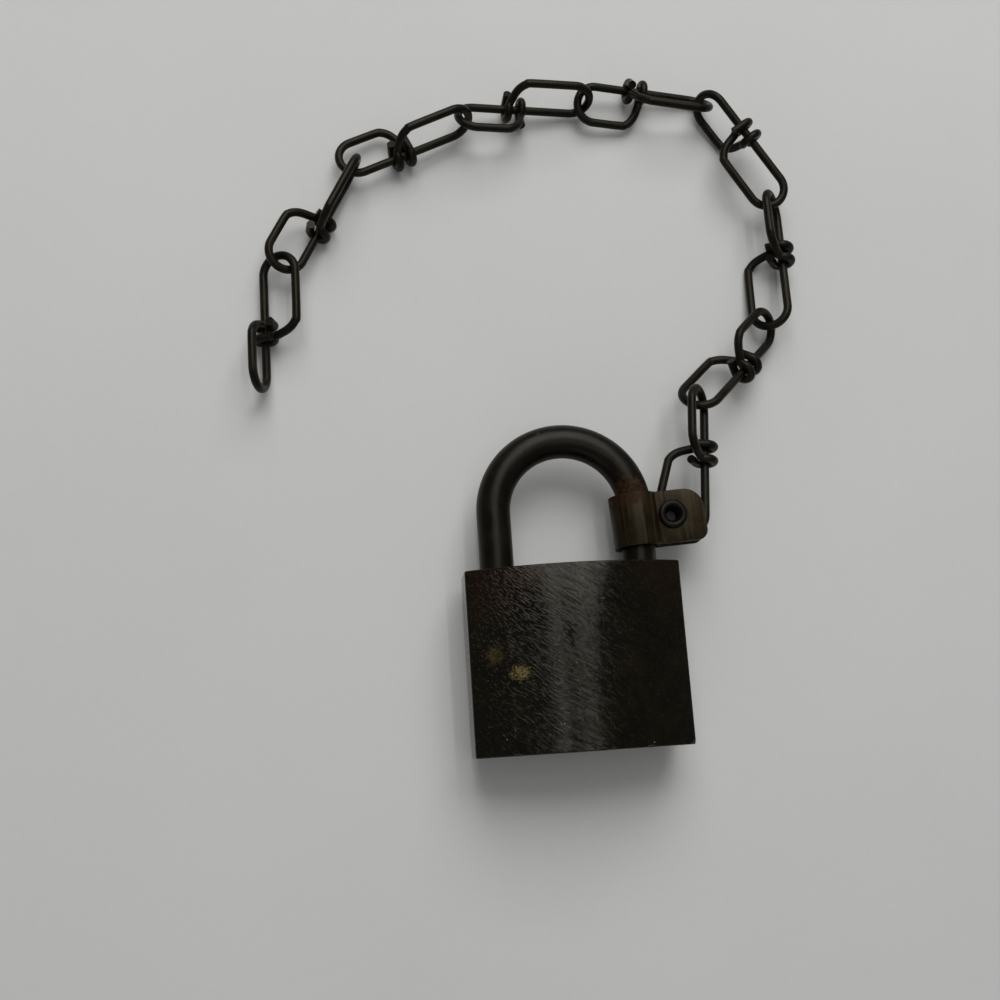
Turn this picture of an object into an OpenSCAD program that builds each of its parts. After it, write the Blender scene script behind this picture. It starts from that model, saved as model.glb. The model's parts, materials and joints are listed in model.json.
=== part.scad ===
// Solid-body padlock with a shackle clip and a double-loop wire chain.
// Millimetres.  +Z up, the padlock lies on its back face (z = 0), shackle
// legs along +Y.  The design is drawn about the middle of the body's lower
// edge and moved by ORIGIN to the middle of the footprint.

/* [Output] */
// the sub-part to draw, or all of them

/* [Body] */
// width across the two flat sides
body_w = 44.45; // [43:0.05:46]
// height along the shackle legs
body_h = 37.5; // [37:0.1:39]
// thickness at the flat sides
side_t = 10.38; // [10:0.02:11]
// thickness on the centre line
mid_t = 20.74; // [20.4:0.02:21]
// broken edge round the body
edge = 0.35; // [0.2:0.05:0.5]

/* [Shackle] */
// bar diameter
shackle_d = 7.14; // [7.0:0.02:7.2]
// leg centre from the middle of the body
leg_x = 15.04; // [14.95:0.01:15.1]
// height of the bow's centre
bow_y = 49.86; // [49:0.02:51]
// lower end of the short toe leg
toe_end = 27.3; // [27:0.1:27.5]
// lower end of the long heel leg
heel_end = 12; // [11:0.5:13]
// travel when it opens
lift = 10.5; // [10.4:0.1:10.6]

/* [Lock work] */
// locking ball diameter
ball_d = 7.0; // [6.9:0.05:7.0]
// height of the balls
ball_y = 31; // [30.8:0.1:31.1]
// locked ball centre from the middle
ball_x = 10.0; // [9.95:0.01:10.0]
// how far the toe ball backs off
toe_throw = 2.25; // [2.2:0.01:2.26]
// how far the heel ball backs off
heel_throw = 1.4; // [1.3:0.05:1.4]
// plug radius, where the pins divide
plug_r = 5.2; // [5.1:0.05:5.2]
// pin radius
pin_r = 1.25; // [1.2:0.01:1.25]

/* [Clip] */
// strap thickness
strap = 0.9; // [0.8:0.05:0.95]
// inside radius of the barrel
barrel_r = 4.15; // [4.12:0.01:4.2]
// strap width
clip_h = 11.2; // [11:0.1:11.3]
// gap between the two leaves
leaf_gap = 3.4; // [3.3:0.05:3.5]
// lean of the loose clip on its leg
clip_tilt = 3.4; // [3:0.1:3.5]
// rivet shank radius
shank_r = 1.6; // [1.5:0.05:1.6]

/* [Chain] */
// wire diameter
wire_d = 1.95; // [1.85:0.05:1.95]
// bend radius at the tip of a loop
loop_r = 4.1; // [4:0.05:4.1]
// length between the two tips, on the wire's centre
link_l = 30.5; // [30.4:0.1:30.5]

/* [Hidden] */
$fn = 64;
ORIGIN = [3.15, -76.25, 0];
// clearances: shackle legs, turning and sliding pieces, seated pieces
bore_gap = 0.08;
run_gap = 0.05;
slide_gap = 0.06;
seat_gap = 0.01;
// how far a cutter runs past the face that it opens
past = 1;
// recess round the keyway end of the cylinder
recess_r = 6.35;
recess_depth = 1.2;
// cylinder: wall round the plug, lip inside the recess, where it starts and ends
shell_wall = 1.2;
shell_lip = 6.3;
shell_y0 = 0.5;
shell_y1 = 21.8;
plug_head_r = 5.7;
plug_face = 0.35;
plug_end = 21.9;
plug_tail_r = 3.4;
plug_tail_end = 23.4;
keyway_end = 20.6;
// pin stacks
pin_y = [5.6, 9.0, 12.4, 15.8, 19.2];
key_len = [4.3, 3.7, 4.6, 3.4, 4.0];
drv_len = 4.1;
pin_tip_h = 0.8;
pin_tip_r = 0.45;
pin_bevel = 0.25;
// tower that holds the driver pins, its cover strip and the screw that holds the cylinder
tower_x = -15.0;
tower_w = 7.2;
tower_y1 = 22.8;
cover_t = 0.36;
cover_w = 3.7;
cover_y0 = 3.4;
cover_y1 = 21.4;
screw_x = -13.2;
screw_y0 = 20.8;
screw_neck = 24.25;
screw_y1 = 26.0;
screw_r = 0.95;
screw_head_r = 1.85;
// room above the plug for the cam
cam_room_r = 6.9;
cam_y0 = 23.6;
cam_y1 = 33.6;
cam_lobe_y0 = 28.4;
cam_room_y1 = 34.7;
cam_tip = 6.45;
cam_hub = 3.3;
cam_shaft_r = 3.0;
// lower ends of the two shackle pockets
heel_pocket_end = 4.4;
toe_pocket_end = 26.4;
mouth = 0.5;
clip_p = [leg_x - 0.12, 46.75];
rivet_p = [22.5, 47.6];
lug_end = 14.6;
lug_round = 4.2;
lug_small_round = 2.2;
flange_r = 3.0;
tail_r = 3.1;
// knot's middle from the first tip, on a plain link and on the one at the rivet
knot_x = 17.0;
first_knot = 18.5;
first_l = 32;
// the loop at the rivet is opened wider
first_r = 5.2;
// the wrap round the spine: radius, first angle, last angle, length of the cut end
wrap_r = 2.0;
wrap_from = 17;
wrap_to = 270;
stub = 2.0;
sides = 8;
zc = mid_t / 2;
W2 = body_w / 2;
r_s = shackle_d / 2;
sag = (mid_t - side_t) / 2;
face_r = (W2 * W2 + sag * sag) / (2 * sag);
pocket_r = r_s + bore_gap;

// one row per link: where its spine line starts, then heading, slope, roll of
// the first loop, and turn from the first loop to the second
LINKS = [
  [29.5, 42.5, 11.25, 84, -4, -4, 62],
  [32.5, 70, 12.75, 44, -22, -31, 69],
  [54.5, 91, 7.6, 87, -9, -32, 89],
  [58.5, 122, 7.25, 124, 5, -5, -64],
  [42, 148, 1.5, 175, 8, 50, -64],
  [13.5, 145.5, 1.25, 179, 7, 109, -78],
  [-14, 141.5, 2.25, -156, 5, 107, 80],
  [-40.5, 133, 1.35, -118, 6, 83, 74],
  [-61.5, 111, 3.25, -90, -1, 29, 77]
];

blackened = [0.16, 0.13, 0.11];
steel = [0.30, 0.30, 0.30];
brass = [0.72, 0.58, 0.30];
clip_c = [0.27, 0.20, 0.13];
wire_c = [0.13, 0.12, 0.10];

// ---------- small helpers ----------
// round bar along Y, at x, z (about the lock's middle plane)
module bar_y(r, y0, y1, x = 0, z = 0) {
  translate([x, y0, zc + z]) rotate([-90, 0, 0]) cylinder(r = r, h = y1 - y0);
}
// cone along Y
module cone_y(r0, r1, y0, y1, x = 0, z = 0) {
  translate([x, y0, zc + z]) rotate([-90, 0, 0]) cylinder(r1 = r0, r2 = r1, h = y1 - y0);
}
// round bar along X
module bar_x(r, x0, x1, y, z = 0) {
  translate([x0, y, zc + z]) rotate([0, 90, 0]) cylinder(r = r, h = x1 - x0);
}
module block(x0, x1, y0, y1, z0, z1) {
  translate([x0, y0, zc + z0]) cube([x1 - x0, y1 - y0, z1 - z0]);
}

// ---------- swept round wire as one closed mesh ----------
function unit(v) = v / norm(v);
function tangent(p, i) = let (n = len(p)) unit(p[min(i + 1, n - 1)] - p[max(i - 1, 0)]);
// each ring's first direction is carried along from the ring before
function carry(p, i, v) = let (t = tangent(p, i), w = v - (v * t) * t) unit(w);
function frames(p, v0) = [for (i = 0, v = carry(p, 0, v0); i < len(p); i = i + 1,
  v = i < len(p) ? carry(p, i, v) : v) v];
module wire(p, r, n, v0) {
  f = frames(p, v0);
  m = len(p);
  pts = concat(
    [for (i = [0 : m - 1]) let (t = tangent(p, i), u = f[i], w = cross(t, u))
      for (k = [0 : n - 1]) p[i] + r * (cos(360 * k / n) * u + sin(360 * k / n) * w)]);
  tris = concat(
    [for (i = [0 : m - 2]) for (k = [0 : n - 1]) let (a = i * n + k, b = i * n + (k + 1) % n)
      [a, a + n, b]],
    [for (i = [0 : m - 2]) for (k = [0 : n - 1]) let (a = i * n + k, b = i * n + (k + 1) % n)
      [b, a + n, b + n]],
    [[for (k = [0 : n - 1]) k]],
    [[for (k = [n - 1 : -1 : 0]) (m - 1) * n + k]]);
  polyhedron(points = pts, faces = tris, convexity = 8);
}
// smooth curve through a short list of points
function mix(a, b, c, d, t) = 0.5 * (2 * b + (c - a) * t + (2 * a - 5 * b + 4 * c - d) * t * t
  + (3 * b - a - 3 * c + d) * t * t * t);
function smooth(p, n) = let (m = len(p)) concat(
  [for (i = [0 : m - 2]) let (a = i > 0 ? p[i - 1] : 2 * p[0] - p[1],
      d = i < m - 2 ? p[i + 2] : 2 * p[m - 1] - p[m - 2])
    for (k = [0 : n - 1]) mix(a, p[i], p[i + 1], d, k / n)], [p[m - 1]]);

// ---------- lock body ----------
module face_lens() {
  rotate([-90, 0, 0]) rotate_extrude($fn = 180)
    polygon([[0, 0], [face_r - edge, 0], [face_r, edge], [face_r, body_h - edge],
             [face_r - edge, body_h], [0, body_h]]);
}
module lock_body() {
  color(blackened) difference() {
    intersection() {
      translate([0, 0, zc - (face_r - mid_t / 2)]) face_lens();
      translate([0, 0, zc + (face_r - mid_t / 2)]) face_lens();
      translate([-W2, 0, zc - mid_t]) cube([body_w, body_h, 2 * mid_t]);
    }
    // bottom recess, plug bore and the slot for the pin tower
    bar_y(recess_r, -past, recess_depth);
    bar_y(plug_r + shell_wall + run_gap, -past, cam_y0);
    block(tower_x - 0.55, 0, -past, tower_y1 + 0.1, -tower_w / 2 - run_gap, tower_w / 2 + run_gap);
    // cam room above the plug
    bar_y(cam_room_r, cam_y0 - 0.1, cam_room_y1);
    // cross bore for the two balls
    bar_x(ball_d / 2 + slide_gap, -leg_x, leg_x, ball_y);
    // shackle pockets, heel deep and toe short, with eased mouths
    for (leg = [[leg_x, heel_pocket_end], [-leg_x, toe_pocket_end]]) {
      bar_y(pocket_r, leg[1], body_h + past, leg[0]);
      cone_y(pocket_r, pocket_r + mouth, body_h - 0.4, body_h + 0.1, leg[0]);
    }
    // the screw is put in through the toe pocket
    bar_y(screw_head_r + 0.1, screw_neck - run_gap, toe_pocket_end + 0.6, screw_x);
    bar_y(screw_r + 0.2, tower_y1 - 0.8, screw_neck + 0.5, screw_x);
  }
}

// ---------- cylinder ----------
keyway_pts = [[-4.9, -0.95], [-2.6, -0.95], [-2.1, -0.45], [-1.4, -0.45], [-0.9, -1.15], [1.2, -1.15],
  [1.6, -0.6], [3.9, -0.6], [3.9, 1.05], [0.6, 1.05], [0.2, 0.5], [-0.6, 0.5], [-1.0, 1.05], [-4.9, 1.05]];
module pin_bores(x0, x1) {
  for (y = pin_y) bar_x(pin_r + slide_gap, x0, x1, y);
}
module cylinder_shell() {
  color(brass) difference() {
    union() {
      bar_y(plug_r + shell_wall, shell_y0, shell_y1);
      bar_y(shell_lip, shell_y0, recess_depth - run_gap);
      block(tower_x - 0.05, -2, shell_y0, shell_y1, -tower_w / 2, tower_w / 2);
      // the tower's end, which the screw bites into
      block(tower_x - 0.05, -9.5, shell_y0, tower_y1, -tower_w / 2, tower_w / 2);
    }
    bar_y(plug_r + run_gap, -past, tower_y1 + past);
    bar_y(plug_head_r + run_gap, -past, plug_face + past);
    pin_bores(tower_x - past, -2);
    // seat for the cover strip
    block(tower_x - past, tower_x + cover_t - seat_gap, cover_y0, cover_y1,
      -cover_w / 2 - run_gap, cover_w / 2 + run_gap);
    bar_y(screw_r + run_gap, screw_y0 - 0.15, tower_y1 + past, screw_x);
  }
}
// the warded slot that a key slides in, from the outline given
module keyway(y0, y1) {
  translate([0, y0, zc]) rotate([-90, 0, 0]) mirror([0, 1, 0]) linear_extrude(height = y1 - y0) children();
}
module plug() {
  color(brass) difference() {
    union() {
      bar_y(plug_head_r, plug_face, recess_depth + 0.1);
      bar_y(plug_r, recess_depth + 0.1, plug_end);
      bar_y(plug_tail_r, plug_end, plug_tail_end);
    }
    keyway(-past, keyway_end) polygon(keyway_pts);
    // eased mouth of the keyway
    keyway(-run_gap, plug_face + 0.25) offset(delta = 0.25) polygon(keyway_pts);
    pin_bores(-8, 0.4);
    // slot that drives the cam
    block(-4, 4, plug_tail_end - 1, plug_tail_end + past, -0.9, 0.9);
    // groove for the retaining ring
    difference() {
      bar_y(plug_r + past, plug_end + 0.1, plug_end + 0.45);
      bar_y(2.9, plug_end, plug_end + 0.6);
    }
  }
}
module plug_retainer() {
  color(steel) difference() {
    bar_y(5.9, plug_end + 0.12, plug_end + 0.43);
    bar_y(2.95, plug_end - past, plug_end + past);
    block(-1.9, 1.9, plug_end - past, plug_end + past, 0, 8);
  }
}
module core_screw() {
  color(steel) difference() {
    union() {
      bar_y(screw_head_r, screw_neck, screw_y1, screw_x);
      bar_y(screw_r, screw_y0, screw_neck, screw_x);
    }
    block(screw_x - 3, screw_x + 3, screw_y1 - 0.7, screw_y1 + past, -0.3, 0.3);
  }
}
module spring_cover() {
  color(brass) block(tower_x - 0.03, tower_x + cover_t - 0.03, cover_y0 + 0.1, cover_y1 - 0.1,
    -cover_w / 2, cover_w / 2);
}

// ---------- cam and balls ----------
// flank that lets a ball back off over a quarter turn, down to radius low
function flank(a, low) = cam_tip - (cam_tip - low) * a / 90 - 0.2 * min(1, a / 15);
// steep back of a lobe
function back(a) = cam_hub + max(0, 1 - a / 12) * (cam_tip - cam_hub);
// radius at angle a from the heel lobe; the toe lobe is opposite
function cam_r(a) = a <= 90 ? flank(a, 4.85) : a < 180 ? back(180 - a) :
  a <= 270 ? flank(a - 180, 4.0) : back(360 - a);
module actuator() {
  color(steel) {
    translate([0, cam_lobe_y0, zc]) rotate([-90, 0, 0]) linear_extrude(height = cam_y1 - cam_lobe_y0)
      polygon([for (a = [0 : 6 : 354]) cam_r(a) * [cos(a), -sin(a)]]);
    bar_y(cam_shaft_r, cam_y0, cam_lobe_y0);
    // blade in the plug's slot
    block(-cam_shaft_r, cam_shaft_r, plug_tail_end - 0.9, cam_y0, -0.8, 0.8);
  }
}
module ball(x) {
  color(steel) translate([x, ball_y, zc]) rotate([0, 90, 0]) sphere(d = ball_d, $fn = 48);
}

// ---------- shackle ----------
module notch(sx, throw) {
  // room for a ball that backs off while the leg rises
  r = ball_d / 2 + slide_gap;
  a = [sx * ball_x, ball_y, zc];
  b = [sx * (ball_x - throw), ball_y - lift, zc];
  d = b - a;
  translate(a) rotate([0, 90, 0]) sphere(r = r + 0.02, $fn = 48);
  translate(a) rotate([0, 0, atan2(d[1], d[0])]) rotate([0, 90, 0]) cylinder(r = r, h = norm(d));
  if (sx > 0) translate(b) rotate([0, 90, 0]) sphere(r = r + 0.02, $fn = 48);
}
module shackle() {
  color(steel) difference() {
    union() {
      translate([0, bow_y, zc]) rotate_extrude(angle = 180, $fn = 96)
        translate([leg_x, 0]) circle(r = r_s, $fn = 48);
      bar_y(r_s, heel_end + 0.8, bow_y, leg_x);
      cone_y(r_s - 0.8, r_s, heel_end, heel_end + 0.8, leg_x);
      bar_y(r_s, toe_end + 0.6, bow_y, -leg_x);
      cone_y(r_s - 0.6, r_s, toe_end, toe_end + 0.6, -leg_x);
    }
    notch(1, heel_throw);
    notch(-1, toe_throw);
  }
}
function coil(r, y0, y1, turns, x, n) = [for (i = [0 : n * turns])
  [x + r * cos(360 * i / n), y0 + (y1 - y0) * i / (n * turns), zc + r * sin(360 * i / n)]];
module shackle_spring() {
  color(steel) wire(coil(2.5, 4.9, heel_end - 0.45, 5, leg_x, 12), 0.38, 6, [0, 1, 0]);
}

// ---------- pins ----------
module key_pin(i) {
  // blunt cone towards the key, domed to the plug's own round at the shear line
  color(brass) intersection() {
    translate([-plug_r, pin_y[i], zc]) rotate([0, 90, 0]) union() {
      cylinder(r = pin_r, h = key_len[i] - pin_tip_h);
      translate([0, 0, key_len[i] - pin_tip_h]) cylinder(r1 = pin_r, r2 = pin_tip_r, h = pin_tip_h);
    }
    bar_y(plug_r - seat_gap, pin_y[i] - 2 * pin_r, pin_y[i] + 2 * pin_r);
  }
}
module driver_pin(i) {
  color(steel) translate([-plug_r - seat_gap - drv_len, pin_y[i], zc]) rotate([0, 90, 0]) union() {
    translate([0, 0, pin_bevel]) cylinder(r = pin_r, h = drv_len - pin_bevel);
    cylinder(r1 = pin_r - pin_bevel, r2 = pin_r, h = pin_bevel);
  }
}
function coil_x(x0, x1, y, r, turns, n) = [for (i = [0 : n * turns])
  [x0 + (x1 - x0) * i / (n * turns), y + r * cos(360 * i / n), zc + r * sin(360 * i / n)]];
module pin_spring(i) {
  path = coil_x(tower_x + 0.6, -plug_r - drv_len - 0.25, pin_y[i], 0.95, 5, 9);
  color(steel) wire(path, 0.15, 6, [1, 0, 0]);
}

// ---------- clip ----------
module clip_plan(o, g) {
  // plan of the folded strap, o grows it
  circle(r = barrel_r + o, $fn = 72);
  translate([0, -g / 2 - o]) square([lug_end + 0.3, g + 2 * o]);
}
// side view of the strap: one generous round corner above, a smaller one below
module clip_side() {
  h = clip_h / 2;
  translate([-9, -h]) square([9 + lug_end - lug_round, clip_h]);
  translate([0, lug_small_round - h]) square([lug_end, clip_h - lug_round - lug_small_round]);
  translate([lug_end - lug_round, h - lug_round]) circle(r = lug_round);
  translate([lug_end - lug_small_round, lug_small_round - h]) circle(r = lug_small_round);
  translate([0, -h]) square([lug_end - lug_small_round, 4]);
}
module chain_clip() {
  color(clip_c) translate([clip_p[0], clip_p[1], zc]) rotate([0, 0, clip_tilt]) difference() {
    intersection() {
      translate([0, -clip_h / 2, 0]) rotate([-90, 0, 0]) linear_extrude(height = clip_h) difference() {
        clip_plan(strap, leaf_gap);
        clip_plan(0, leaf_gap);
        translate([lug_end + 0.2, -9]) square([5, 18]);
      }
      translate([0, 0, -9]) linear_extrude(height = 18) clip_side();
    }
    rotate([0, 0, -clip_tilt]) translate([rivet_p[0] - clip_p[0], rivet_p[1] - clip_p[1], -9])
      cylinder(r = shank_r + seat_gap, h = 18);
  }
}
module clip_rivet() {
  t = leaf_gap / 2 + strap + seat_gap;
  color(steel) translate([rivet_p[0], rivet_p[1], zc]) difference() {
    union() {
      translate([0, 0, -t - 0.3]) cylinder(r = shank_r, h = 2 * t + 0.6);
      // rolled head in front
      translate([0, 0, t]) cylinder(r = flange_r, h = 0.35);
      translate([0, 0, t + 0.35]) cylinder(r1 = flange_r, r2 = 2.3, h = 0.4);
      // low domed head behind
      translate([0, 0, -t - 0.35]) cylinder(r = tail_r, h = 0.35);
      translate([0, 0, -t - 0.85]) cylinder(r1 = 1.9, r2 = tail_r, h = 0.5);
    }
    translate([0, 0, t - 2.2]) cylinder(r = 1.05, h = 5);
    translate([0, 0, t + 0.05]) cylinder(r1 = 1.05, r2 = 1.8, h = 0.75);
  }
}

// ---------- chain link: one wire, a loop at each end, each end wrapped round the spine ----------
// bend at the tip of a loop, radius r, from the spine over to the return leg
function tip(r) = [for (t = [0 : 22.5 : 180]) [r - r * sin(t), r - r * cos(t), 0]];
// return leg: runs beside the spine, turns in at the knot; w is where its wrap sits
function leg(w, r) = [for (q = smooth([[r, 2 * r], [w - 4.4, 8.1], [w - 3, 7.7], [w - 1.9, 6.7],
  [w - 1.1, 5.2], [w - 0.3, 2.4]], 2)) if (q[0] > r + 0.01) [q[0], q[1], 0]];
// the end goes three quarters of a turn round the spine, towards s * z, and sticks out where it is cut
function wrap(w, s) = concat(
  [for (i = [0 : 8]) let (a = wrap_from + i * (wrap_to - wrap_from) / 8)
    [w + 0.12 * a / 180, wrap_r * cos(a), s * wrap_r * sin(a)]],
  [[w + 0.22, stub, -s * (wrap_r + slide_gap)]]);
function half(w, s, r) = concat(tip(r), leg(w, r), wrap(w, s));
function rev(p) = [for (i = [len(p) - 1 : -1 : 0]) p[i]];
function link_path(turn, r, knot, long) = concat(
  rev(half(knot + 1.5, -1, r)),
  [for (x = [r + 3.2 : 3.2 : long - loop_r - 1]) [x, 0, 0]],
  [for (q = half(long - knot + 1.5, 1, loop_r))
    [long - q[0], q[1] * cos(turn) - q[2] * sin(turn), q[1] * sin(turn) + q[2] * cos(turn)]]);
module chain_link(i) {
  q = LINKS[i];
  path = i == 0 ? link_path(q[6], first_r, first_knot, first_l)
    : link_path(q[6], loop_r, knot_x, link_l);
  color(wire_c) translate([q[0], q[1], q[2]]) rotate([0, 0, q[3]]) rotate([0, -q[4], 0]) rotate([q[5], 0, 0])
    wire(path, wire_d / 2, sides, [0, 0, 1]);
}

translate(ORIGIN) {
  lock_body();
  cylinder_shell();
  plug();
  plug_retainer();
  core_screw();
  spring_cover();
  actuator();
  ball(-ball_x);  // ball_toe
  ball(ball_x);  // ball_heel
  shackle();
  shackle_spring();
  chain_clip();
  clip_rivet();
  key_pin(0);  // key_pin_1
  key_pin(1);  // key_pin_2
  key_pin(2);  // key_pin_3
  key_pin(3);  // key_pin_4
  key_pin(4);  // key_pin_5
  driver_pin(0);  // driver_pin_1
  driver_pin(1);  // driver_pin_2
  driver_pin(2);  // driver_pin_3
  driver_pin(3);  // driver_pin_4
  driver_pin(4);  // driver_pin_5
  pin_spring(0);  // pin_spring_1
  pin_spring(1);  // pin_spring_2
  pin_spring(2);  // pin_spring_3
  pin_spring(3);  // pin_spring_4
  pin_spring(4);  // pin_spring_5
  chain_link(0);  // chain_link_1
  chain_link(1);  // chain_link_2
  chain_link(2);  // chain_link_3
  chain_link(3);  // chain_link_4
  chain_link(4);  // chain_link_5
  chain_link(5);  // chain_link_6
  chain_link(6);  // chain_link_7
  chain_link(7);  // chain_link_8
  chain_link(8);  // chain_link_9
}
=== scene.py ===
"""Finish and studio set for an old blackened padlock, its riveted clip and its knotted wire chain."""

import math

import bmesh
import bpy
from mathutils import Matrix, Vector, kdtree
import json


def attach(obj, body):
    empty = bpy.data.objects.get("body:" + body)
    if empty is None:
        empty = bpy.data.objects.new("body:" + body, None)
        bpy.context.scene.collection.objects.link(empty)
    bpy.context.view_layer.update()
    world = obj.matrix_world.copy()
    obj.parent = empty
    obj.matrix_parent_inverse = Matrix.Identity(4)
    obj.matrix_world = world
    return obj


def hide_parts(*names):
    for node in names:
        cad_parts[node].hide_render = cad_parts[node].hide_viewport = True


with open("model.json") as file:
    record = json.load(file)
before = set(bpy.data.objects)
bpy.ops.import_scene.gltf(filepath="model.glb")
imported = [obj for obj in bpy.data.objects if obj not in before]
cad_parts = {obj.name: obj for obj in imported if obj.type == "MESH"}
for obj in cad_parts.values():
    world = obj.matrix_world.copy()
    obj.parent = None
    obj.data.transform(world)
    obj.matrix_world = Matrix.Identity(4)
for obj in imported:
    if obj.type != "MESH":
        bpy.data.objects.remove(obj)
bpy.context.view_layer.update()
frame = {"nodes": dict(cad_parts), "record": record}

# ---------- sizes, in millimetres ----------
MM = 0.001
# the lock's own zero, in the middle of its lower edge, from the middle of the footprint
LOCK_X, LOCK_Y = 3.15, -76.25
BODY_W, BODY_H, SIDE_T, MID_T = 44.45, 37.5, 10.38, 20.74
MID_Z = MID_T / 2
SAG = (MID_T - SIDE_T) / 2
FACE_R = (BODY_W**2 / 4 + SAG**2) / (2 * SAG)
EDGE = 0.35
# shackle: bar, leg centre, where the legs end and the bow starts, travel
BAR_R, LEG_X, BOW_Y = 3.57, 15.04, 49.86
TOE_END, HEEL_END, LIFT = 27.3, 12.0, 10.5
TOE_CHAMFER, HEEL_CHAMFER = 0.6, 0.8
BALL_R, BALL_X, BALL_Y, BALL_ROOM = 3.5, 10.0, 31.0, 0.06
TOE_THROW, HEEL_THROW = 2.25, 1.4
# bores of the body
PLUG_R, TOWER_X, TOWER_W, SCREW_X = 5.2, -15.0, 7.2, -13.2
HEAD_BORE, HEAD_DEPTH = 6.35, 1.2
SHELL_WALL, SHELL_TOP, TOWER_TOP = 1.25, 23.6, 22.9
TOWER_END_GAP, TOWER_SIDE_GAP = 0.55, 0.05
CAM_BORE, CAM_FROM, CAM_TO = 6.9, 23.4, 34.7
LEG_ROOM, HEEL_FLOOR, TOE_FLOOR = 0.08, 4.4, 26.4
MOUTH_DEPTH, MOUTH_FLARE = 0.4, 0.5
SCREW_HEAD, SCREW_SHANK, SCREW_SEAT, SCREW_FROM = 1.95, 1.15, 24.2, 22
OVERSHOOT = 1
# clip and rivet
STRAP, BARREL_R, CLIP_H, LEAF_GAP, CLIP_TILT = 0.9, 4.15, 11.2, 3.4, 3.4
CLIP_X, CLIP_Y, RIVET_X, RIVET_Y, SHANK_R = LEG_X - 0.12, 46.75, 22.5, 47.6, 1.6
LUG_END, LUG_ROUND, LUG_SMALL_ROUND = 14.6, 4.2, 2.2
# chain wire and its links
WIRE_D, LOOP_R, LINK_L, KNOT_X, WRAP_R = 1.95, 4.1, 30.5, 17.0, 2.0
FIRST_R, FIRST_KNOT, FIRST_L = 5.2, 18.5, 32.0
WRAP_FROM, WRAP_TO, STUB = 17, 270, 2.9
# the round visible wire is this much thinner than the chain's flat-sided one
WIRE_EASE = 0.04
# each link: start of its spine, heading, slope, roll of the first loop, turn to the second
LINKS = [
    (29.5, 42.5, 11.25, 84, -4, -4, 62),
    (32.5, 70, 12.75, 44, -22, -31, 69),
    (54.5, 91, 7.6, 87, -9, -32, 89),
    (58.5, 122, 7.25, 124, 5, -5, -64),
    (42, 148, 1.5, 175, 8, 50, -64),
    (13.5, 145.5, 1.25, 179, 7, 109, -78),
    (-14, 141.5, 2.25, -156, 5, 107, 80),
    (-40.5, 133, 1.35, -118, 6, 83, 74),
    (-61.5, 111, 3.25, -90, -1, 29, 77),
]
# how many flats stand in for a round: body face, bores, ball way, bar, notch, rivet
FACE_SIDES, BORE_SIDES, WAY_SIDES, BAR_SIDES, NOTCH_SIDES, RIVET_SIDES = 480, 96, 72, 48, 64, 64
PLUS_Y = (math.radians(-90), 0, 0)
PLUS_X = (0, math.radians(90), 0)


def at(x, y, z=MID_Z):
    """A place given from the lock's own zero in millimetres, in the scene's metres."""
    return Vector(((x + LOCK_X) * MM, (y + LOCK_Y) * MM, z * MM))


# ---------- studio ----------
CAMERA_SPOT = (-40.552, -0.697, 272.939)
CAMERA_TILT, CAMERA_SWAY, CAMERA_TWIST = 0.206, -0.091, -0.049
CAMERA_LENS, CAMERA_SENSOR = 46.18, 36
ROOM_TONE, ROOM_LIGHT = (0.97, 0.98, 1, 1), 0.17
# long lamps: place across the lock, height, width, power
STRIPS = {"left_strip": (-0.055, 1.0, 0.020, 0.88), "right_strip": (0.185, 1.0, 0.018, 0.92)}
STRIP_Y, STRIP_LENGTH = 0.08, 1.1
# broad lamps: place, width and height, power
PANELS = {
    "window": ((0.10, 0.62, 0.78), (0.8, 0.8), 7.5),
    "near_fill": ((-0.5, -1.1, 0.6), (1.0, 0.4), 0.8),
}


def set_camera():
    turn = (
        Matrix.Rotation(CAMERA_TWIST, 3, "Z")
        @ Matrix.Rotation(CAMERA_TILT, 3, "X")
        @ Matrix.Rotation(CAMERA_SWAY, 3, "Y")
    )
    bpy.ops.object.camera_add(location=at(*CAMERA_SPOT), rotation=turn.to_euler())
    camera = bpy.context.object
    camera.name = "copy_stand_camera"
    camera.data.sensor_width = CAMERA_SENSOR
    camera.data.lens = CAMERA_LENS
    camera.data.clip_start = 0.01
    camera.data.clip_end = 50
    bpy.context.scene.camera = camera


def hang_lamp(name, centre, turn, size, power):
    bpy.ops.object.light_add(type="AREA", location=centre, rotation=turn)
    lamp = bpy.context.object
    lamp.name = name
    lamp.data.shape = "RECTANGLE"
    lamp.data.size, lamp.data.size_y = size
    lamp.data.energy = power


def set_studio():
    """The room's light, the lamps and the table; returns the table."""
    scene = bpy.context.scene
    scene.view_settings.view_transform = "Standard"
    scene.world = bpy.data.worlds.new("soft_room")
    scene.world.use_nodes = True
    room = scene.world.node_tree.nodes["Background"]
    room.inputs["Color"].default_value = ROOM_TONE
    room.inputs["Strength"].default_value = ROOM_LIGHT
    for name, (side, height, width, power) in STRIPS.items():
        lean = math.atan2(side, height)
        hang_lamp(name, (side, STRIP_Y, height), (0, lean, 0), (width, STRIP_LENGTH), power)
    for name, (centre, size, power) in PANELS.items():
        aim = -Vector(centre)
        hang_lamp(name, centre, aim.to_track_quat("-Z", "Y").to_euler(), size, power)
    bpy.ops.mesh.primitive_plane_add(size=12, location=(0, 0, 0))
    table = bpy.context.object
    table.name = "table_top"
    bpy.ops.object.transform_apply(location=True, rotation=True, scale=True)
    return table


# ---------- shader helpers ----------
def new_node(tree, kind, settings=None, **inputs):
    node = tree.nodes.new(kind)
    for name, value in (settings or {}).items():
        setattr(node, name, value)
    for name, value in inputs.items():
        node.inputs[name.replace("_", " ")].default_value = value
    return node


def join(tree, source, out, target, into):
    tree.links.new(source.outputs[out], target.inputs[into])


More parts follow.
